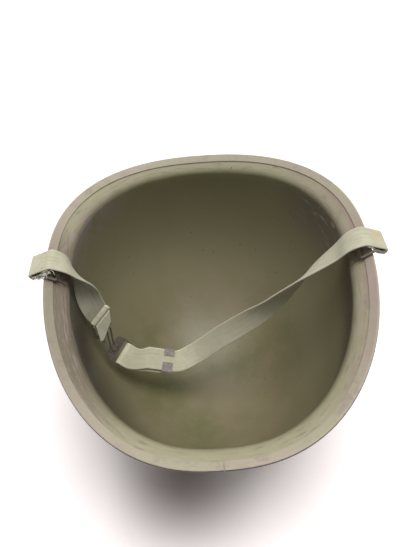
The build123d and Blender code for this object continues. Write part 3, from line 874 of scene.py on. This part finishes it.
def stitches(mesh_data, route, start, end):
    """A row of stitches on the upper face of a ribbon, between two pairs of run and place across."""
    s = strap_settings()
    runs = run_lengths(route)

    def at(run, across, lift):
        run = min(max(run, 0.0), runs[-1] - 1e-6)
        i = max(k for k in range(len(runs)) if runs[k] <= run)
        i = min(i, len(route) - 2)
        t = (run - runs[i]) / (runs[i + 1] - runs[i])
        centre = route[i][0].lerp(route[i + 1][0], t)
        side = route[i][1].lerp(route[i + 1][1], t).normalized()
        along = route[i][2].lerp(route[i + 1][2], t).normalized()
        return centre + side * across + side.cross(along).normalized() * (s.thickness / 2 + lift)

    run_step, across_step = end[0] - start[0], end[1] - start[1]
    count = max(1, round(math.hypot(run_step, across_step) / STITCH_PITCH))
    for i in range(count):
        points = []
        for share, lift in STITCH_SHAPE:
            t = (i + share) / count
            points.append(at(start[0] + run_step * t, start[1] + across_step * t, lift))
        thread_run(mesh_data, points)


def box_stitch(mesh_data, route, start, end):
    """Rows of stitches round and across a sewn patch."""
    half = strap_settings().width / 2 - STITCH_INSET
    near, far = ((start, -half), (start, half)), ((end, -half), (end, half))
    for a, b in (
        (near[0], far[0]), (near[1], far[1]), near, far, (near[0], far[1]), (near[1], far[0]),
    ):
        stitches(mesh_data, route, a, b)


def sew_eye(mesh_data, route, eye_count):
    """Box stitches through the eye's seam, seen on both of its plies."""
    s = strap_settings()
    length = run_lengths(route)[eye_count - 1]
    box_stitch(mesh_data, route, length - s.eye_sewn + SEAM_MARGIN, length - SEAM_MARGIN)
    box_stitch(mesh_data, route, SEAM_START, s.eye_sewn - SEAM_MARGIN)


def frays(mesh_data, start, end, fall, count, length, radius):
    """Loose curly threads that hang from a line between two points, in the direction fall."""
    for _ in range(count):
        point = start.lerp(end, random.random())
        drift = Vector([random.uniform(-1, 1) for _ in range(3)])
        reach = length * random.uniform(0.4, 1.0)
        spots = [point]
        for _ in range(FRAY_JOINTS):
            drift = (drift + Vector([random.uniform(-1, 1) for _ in range(3)]) * 0.9).normalized()
            spots.append(spots[-1] + (fall * 0.6 + drift * 0.7).normalized() * reach / FRAY_JOINTS)
        thread_run(mesh_data, spots, radius, 5)


def strap_route(side, stations, last):
    """Way of a strap from its sewn end, round its bail and on to last, and how many places the eye has."""
    _, inward, _ = eye_frame(side)
    eye = eye_route(side)
    start = eye[-1] + inward * strap_settings().step
    return with_frames(eye, FRONT) + twisted_route((start, FRONT, inward), stations, last), len(eye)


def roll_frame():
    """Centre, direction along, up and out of the short strap's rolled end."""
    s = strap_settings()
    along = Vector(s.roll_along).normalized()
    down = Vector(s.ring_hang)
    down = (down - along * down.dot(along)).normalized()
    return Vector(s.roll_centre), along, -down, along.cross(-down)


def broken_line(spots, place):
    """Value at a place along straight pieces between spots of place and value."""
    for (a, low), (b, high) in zip(spots, spots[1:]):
        if place <= b:
            return low + (high - low) * (place - a) / (b - a)
    return spots[-1][1]


def flap_edges(run):
    """Left and right edge of the short strap's flap, at a distance down from its roll."""
    s = strap_settings()
    half, tip = s.width / 2, s.flap_length
    left = ((0, -half), (s.flap_straight, -half), (tip - s.flap_tip_cut, -s.flap_tip_shift - s.flap_tip_cut))
    right = ((0, half), (s.flap_straight, half - s.thickness), (s.flap_knee, s.flap_knee_shift))
    end = ((tip, -s.flap_tip_shift),)
    return broken_line(left + end, run), broken_line(right + end, run)


def run_frame():
    """Frame of the long strap's doubled part: bar, across, along, up, and along beside the bar."""
    s = strap_settings()
    bar = Vector(s.bar_along).normalized()
    along = Vector(s.doubled_run).normalized()
    across = (bar - along * bar.dot(along)).normalized()
    from_bar = (along - bar * along.dot(bar)).normalized()
    return Vector(s.bar_centre), bar, across, along, along.cross(across), from_bar


def doubled_end():
    """Start of the long strap's doubled end, and its way round the buckle's bar and back beneath."""
    s = strap_settings()
    bar_centre, bar, across, along, up, from_bar = run_frame()
    ply = (s.thickness + s.ply_gap) / 2
    spread = math.hypot(s.bar_width, s.bar_thickness) / 2 + s.clearance + s.thickness / 2
    skewed = bar / bar.dot(across) * s.fold_pinch
    near = across if across.y < 0 else -across
    plies = []
    for face in (1, -1):
        part = []
        aside = near * s.ply_slip - up * s.ply_slip * 0.5 if face < 0 else Vector((0, 0, 0))
        count = int((s.doubled_length - s.settle_length) / s.step)
        for i in range(1, count + 1):
            run = s.doubled_length - i * (s.doubled_length - s.settle_length) / count
            eased = min(1.0, 4 * (1 - run / s.doubled_length))
            part.append((bar_centre + along * run + up * ply * face + aside * eased, across))
        count = int((s.settle_length - s.fold_straight) / s.step)
        for i in range(1, count + 1):
            t = i / count
            share = (3 * t**2 - 2 * t**3 + t) / 2
            run = s.settle_length + (s.fold_straight - s.settle_length) * t
            place = bar_centre + along.lerp(from_bar, share).normalized() * run + aside * (1 - share)
            lift = (ply + (spread - ply) * share) * face
            part.append((place + up * lift, across.lerp(skewed, share)))
        for run in (s.fold_straight * 0.66, s.fold_straight * 0.33, 0.0):
            part.append((bar_centre + from_bar * run + up * spread * face, skewed))
        plies.append(part)
    turn = []
    for i in range(1, FOLD_TURNS):
        angle = math.pi / 2 + math.pi * i / FOLD_TURNS
        turn.append((bar_centre + (from_bar * math.cos(angle) + up * math.sin(angle)) * spread, skewed))
    tip = (bar_centre + along * s.doubled_length - up * ply, across)
    spots = plies[0] + turn + plies[1][::-1] + [tip]
    joined = (bar_centre + along * s.doubled_length + up * ply, across, -along)
    points = [joined[0]] + [spot[0] for spot in spots]
    doubled = []
    for i, (point, side) in enumerate(spots):
        a, b = points[i], points[min(i + 2, len(points) - 1)]
        doubled.append((point, side, (b - a).normalized()))
    return joined, doubled


def thread_object(name, mesh_data):
    """Object of threads from a bmesh."""
    piece = new_object(name, mesh_data)
    piece.data.materials.append(made_material(thread))
    return piece


class HELMET_OT_short_strap(bpy.types.Operator):
    """Short strap: eye, twisted web, roll round the ring, tapered flap, stitches and frayed threads."""

    bl_idname = "helmet.short_strap"
    bl_label = "Short strap"

    def execute(self, context):
        s = strap_settings()
        centre, along, up, out = roll_frame()
        bore = s.ring_wire / 2 + s.clearance
        radius = bore + s.thickness / 2
        behind = centre - out * radius
        route, eye_count = strap_route(-1, SHORT_STATIONS, (behind, along, -up))
        for i in range(1, ROLL_TURNS + 1):
            angle = math.pi + 1.5 * math.pi * i / ROLL_TURNS
            outward = out * math.cos(angle) + up * math.sin(angle)
            direction = -out * math.sin(angle) + up * math.cos(angle)
            route.append((centre + outward * radius, along, direction))
        strap = make_ribbon("short_strap_web", route)
        lean = math.radians(s.flap_lean)
        down = -up * math.cos(lean) + out * math.sin(lean)
        face = out * math.cos(lean) + up * math.sin(lean)
        first, last = s.flap_start, s.flap_length - 0.3
        drops = [first + (last - first) * i / FLAP_ROWS for i in range(FLAP_ROWS + 1)]
        flap_route = []
        for run in drops:
            lift = radius - s.roll_crease * math.exp(-(((run - first) / bore) ** 2) * 2)
            flap_route.append((centre + down * run + face * lift, along, down))
        flap = make_ribbon("short_strap_flap", flap_route, [flap_edges(run) for run in drops])
        sewing = bmesh.new()
        sew_eye(sewing, route, eye_count)
        bar, inward, lift = eye_frame(-1)
        edge = bar + FRONT * (s.width / 2 + 0.3)
        frays(sewing, edge + inward * 2, edge + inward * 16, FRONT - lift * 0.6, *EYE_FRAYS)
        sewn = thread_object("short_strap_eye_stitches", sewing)
        seams = bmesh.new()
        half = s.width / 2
        stitches(seams, flap_route, (FLAP_SEAM, -half + 0.8), (FLAP_SEAM, half - 4.5))
        corner = centre - along * half + out * bore
        frays(seams, corner, corner - up * s.flap_straight + along, -up - along, *ROLL_FRAYS)
        seam = thread_object("short_strap_seams", seams)
        for piece in (strap, sewn):
            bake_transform(piece)
        for piece in (flap, seam):
            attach(piece, "helmet")
        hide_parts("short_strap")
        return {"FINISHED"}


class HELMET_OT_long_strap(bpy.types.Operator):
    """Long strap: eye, twisted web, doubled end round the buckle's bar, and stitches."""

    bl_idname = "helmet.long_strap"
    bl_label = "Long strap"

    def execute(self, context):
        s = strap_settings()
        joined, doubled = doubled_end()
        route, eye_count = strap_route(1, LONG_STATIONS, joined)
        cut = min(range(eye_count, len(route)), key=lambda i: abs(route[i][0].x - STRAP_CUT_X))
        upper = make_ribbon("long_strap_upper", route[:cut + 1])
        under = make_ribbon("long_strap_lower", route[cut:] + doubled)
        sewing = bmesh.new()
        sew_eye(sewing, route, eye_count)
        sewn = thread_object("long_strap_eye_stitches", sewing)
        for piece in (upper, sewn):
            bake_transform(piece)
        bar_centre, _, _, along, _, _ = run_frame()
        middle = bar_centre + along * (s.doubled_length + BUCKLE_BLEND)
        last = bar_centre + along * s.doubled_length
        middle * MM
        last * MM
        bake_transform(under)
        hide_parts("long_strap")
        return {"FINISHED"}


def floor_material():
    """White floor that keeps the shadow, with a painted shadow that darkens it to the camera below the
    shell's front.
    """
    m = Material("floor_white", FLOOR_BOUNCE, 0.9)
    m.set("Specular IOR Level", 0.0)
    x, y, _ = m.parts(m.place)
    # Painted shadow on the floor below the shell's front, seen by the camera.
    below = x.near(-0.035, 0.075) * y.ramp(-0.185, -0.09) * y.ramp(0.1, 0.0)
    seen = m.mix(below * 0.92, FLOOR_SEEN, FLOOR_PAINTED_SHADOW)
    camera = m.out("Is Camera Ray", "ShaderNodeLightPath")
    m.set("Base Color", m.mix(camera, FLOOR_BOUNCE, seen))
    return m.data


def studio_world(s):
    """World brighter overhead and shaded at the front, white to the camera and in reflections."""
    world = bpy.data.worlds.new("studio")
    world.use_nodes = True
    w = NodeTree(world.node_tree)
    _, forward, high = w.parts(w.out("Generated", "ShaderNodeTexCoord"))
    overhead = high.ramp(0.3, 0.92) * (s.world_light - s.low_light) + s.low_light
    light = overhead * (forward.ramp(-0.05, -0.55) * -s.front_shade + 1.0)
    background = world.node_tree.nodes["Background"]
    w.put(background.inputs["Color"], WHITE)
    w.put(background.inputs["Strength"], light)
    white = w.out(0, "ShaderNodeBackground", inputs={"Color": WHITE})
    path = w.node("ShaderNodeLightPath")
    seen = Sock(w, path.outputs["Is Camera Ray"]) + Sock(w, path.outputs["Is Glossy Ray"])
    seen = seen + Sock(w, path.outputs["Is Transmission Ray"])
    mixed = w.out(0, "ShaderNodeMixShader", inputs={0: seen, 1: Sock(w, background.outputs[0]), 2: white})
    w.put(world.node_tree.nodes["World Output"].inputs["Surface"], mixed)
    return world


class HELMET_OT_stage(bpy.types.Operator):
    """Floor, lamp, world and the photograph's camera."""

    bl_idname = "helmet.stage"
    bl_label = "Stage"

    def execute(self, context):
        scene = context.scene
        s = scene.helmet_studio
        mesh_data = bmesh.new()
        bmesh.ops.create_grid(mesh_data, x_segments=1, y_segments=1, size=FLOOR_REACH)
        floor = new_object("floor", mesh_data)
        floor.data.materials.append(floor_material())

        tilt, roll = math.radians(s.tilt), math.radians(s.roll)
        look = Vector((0, math.sin(tilt), -math.cos(tilt)))
        up = Vector((0, math.cos(tilt), math.sin(tilt)))
        right = Vector((1, 0, 0))
        camera_right = right * math.cos(roll) - up * math.sin(roll)
        camera_up = right * math.sin(roll) + up * math.cos(roll)
        data = bpy.data.cameras.new("camera")
        data.sensor_fit = "VERTICAL"
        data.sensor_height = s.sensor
        data.lens = s.focal_pixels / s.frame_height * s.sensor
        data.clip_start = 0.01
        camera = bpy.data.objects.new("camera", data)
        rotation = Matrix((camera_right, camera_up, -look)).transposed().to_4x4()
        camera.matrix_world = Matrix.Translation(Vector(s.eye) * MM) @ rotation
        scene.collection.objects.link(camera)
        scene.camera = camera

        sun_data = bpy.data.lights.new("key", "SUN")
        sun_data.energy = s.key_light
        sun_data.angle = math.radians(s.key_spread)
        sun_data.color = s.key_color
        sun = bpy.data.objects.new("key", sun_data)
        sun.rotation_euler = Vector(s.key_from).to_track_quat("Z", "Y").to_euler()
        scene.collection.objects.link(sun)

        scene.world = studio_world(s)
        scene.view_settings.view_transform = "Standard"
        return {"FINISHED"}


class HELMET_PT_panel(bpy.types.Panel):
    """Buttons that make each group of pieces."""

    bl_label = "Helmet"
    bl_idname = "HELMET_PT_panel"
    bl_space_type = "VIEW_3D"
    bl_region_type = "UI"
    bl_category = "Helmet"

    def draw(self, context):
        for operator in ("shell", "hardware", "short_strap", "long_strap", "stage"):
            self.layout.operator(f"helmet.{operator}")


GROUPS = {
    "helmet": HelmetSettings,
    "helmet_strap": StrapSettings,
    "helmet_looks": LooksSettings,
    "helmet_studio": StudioSettings,
}
CLASSES = (
    *GROUPS.values(),
    HELMET_OT_shell,
    HELMET_OT_hardware,
    HELMET_OT_short_strap,
    HELMET_OT_long_strap,
    HELMET_OT_stage,
    HELMET_PT_panel,
)


def register():
    for item in CLASSES:
        bpy.utils.register_class(item)
    for name, group in GROUPS.items():
        setattr(bpy.types.Scene, name, bpy.props.PointerProperty(type=group))


def unregister():
    for name in GROUPS:
        delattr(bpy.types.Scene, name)
    for item in reversed(CLASSES):
        bpy.utils.unregister_class(item)


def main():
    register()
    random.seed(RANDOM_SEED)
    bpy.ops.helmet.shell()
    bpy.ops.helmet.hardware()
    bpy.ops.helmet.short_strap()
    bpy.ops.helmet.long_strap()
    bpy.ops.helmet.stage()


if __name__ == "__main__":
    main()
